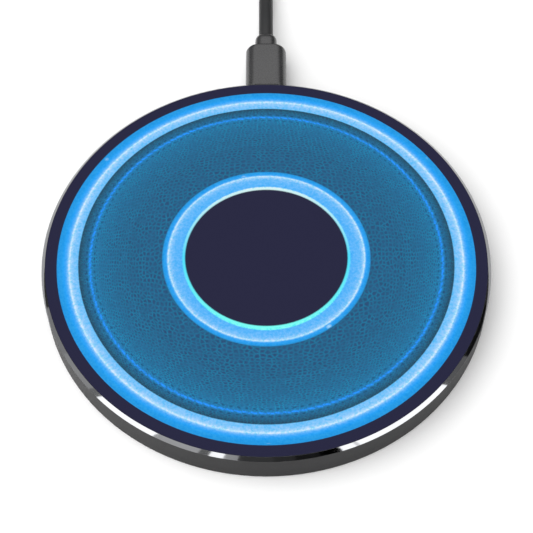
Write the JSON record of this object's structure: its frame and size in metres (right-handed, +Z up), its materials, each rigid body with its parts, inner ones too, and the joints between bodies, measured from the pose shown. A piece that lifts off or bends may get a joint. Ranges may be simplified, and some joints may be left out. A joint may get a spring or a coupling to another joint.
{
  "type": "wireless charging pad",
  "caption": "Thin round wireless charging pad with a printed glass top, bright bevelled rim, dark metal side and a plug-in USB lead at the back, coiled and tied.",
  "frame": {"origin": "centre of the foot ring, on the surface that the pad stands on", "axes": "+Z up out of the printed face, +Y from the pad's centre to its socket, along the plug"},
  "size_m": [0.1009, 0.2003, 0.0084],
  "materials": {
    "printed_film": "printed in concentric bands, matt",
    "cover_glass": "float glass, back painted",
    "adhesive_tape": "acrylic foam tape",
    "stiffener": "glass-filled sheet",
    "polished_rim": "diamond-cut and polished",
    "painted_alloy": "fine matt paint on die-cast zinc",
    "base_plastic": "fine spark-eroded texture",
    "screw_steel": "nickel plated",
    "foot_rubber": "moulded silicone",
    "foam": "foam pad",
    "copper_litz": "stranded enamelled copper",
    "ferrite": "sintered ferrite",
    "tray_plastic": "moulded nylon",
    "thermistor": "epoxy bead with red wires",
    "circuit_board": "solder mask over glass epoxy",
    "chip_epoxy": "moulded epoxy",
    "capacitor": "multilayer ceramic with tin ends",
    "tantalum": "moulded epoxy",
    "inductor": "pressed iron powder",
    "resistor": "glazed thick film",
    "crystal_can": "stamped can",
    "lamp": "clear epoxy lens",
    "light_guide": "clear acrylic rod",
    "thermal_pad": "filled silicone",
    "socket_steel": "drawn stainless shell",
    "connector_plastic": "liquid crystal polymer",
    "contacts": "gold plated",
    "plug_steel": "drawn stainless shell",
    "plug_moulding": "moulded thermoplastic elastomer, satin",
    "cord_jacket": "extruded thermoplastic elastomer, satin",
    "tie": "silicone strap",
    "white_insert": "moulded polyester"
  },
  "bodies": {
    "pad": {"top_print": "printed_film", "cover_glass": "cover_glass", "glass_tape": "adhesive_tape", "glass_backer": "stiffener", "bezel_ring": "polished_rim", "side_frame": "painted_alloy", "base_plate": "base_plastic", "base_screws": "screw_steel", "foot_ring": "foot_rubber", "foot_tape": "adhesive_tape", "coil_pad": "foam", "transmit_coil": "copper_litz", "coil_wires": "copper_litz", "ferrite_disc": "ferrite", "coil_tray": "tray_plastic", "tray_screws": "screw_steel", "thermistor": "thermistor", "main_board": "circuit_board", "board_screws": "screw_steel", "controller_chip": "chip_epoxy", "bridge_transistors": "chip_epoxy", "resonant_capacitors": "capacitor", "bulk_capacitors": "tantalum", "input_inductor": "inductor", "chip_resistors": "resistor", "timing_crystal": "crystal_can", "status_led": "lamp", "light_guide": "light_guide", "thermal_pad": "thermal_pad", "socket_shell": "socket_steel", "socket_tongue": "connector_plastic", "socket_contacts": "contacts"},
    "lead": {"plug_shell": "plug_steel", "plug_insulator": "connector_plastic", "plug_contacts": "contacts", "plug_board": "circuit_board", "plug_body": "plug_moulding", "plug_collar": "plug_moulding", "cord_lead": "cord_jacket", "cord_coil": "cord_jacket", "cord_tail": "cord_jacket", "cord_tie": "tie", "usb_a_shell": "plug_steel", "usb_a_insulator": "white_insert", "usb_a_contacts": "contacts", "usb_a_body": "plug_moulding", "usb_a_collar": "plug_moulding"}
  },
  "joints": [
    {"name": "plug_pull", "type": "slide", "parent": "pad", "child": "lead", "axis": [0, 1, 0], "range_m": [0, 0.012]}
  ]
}
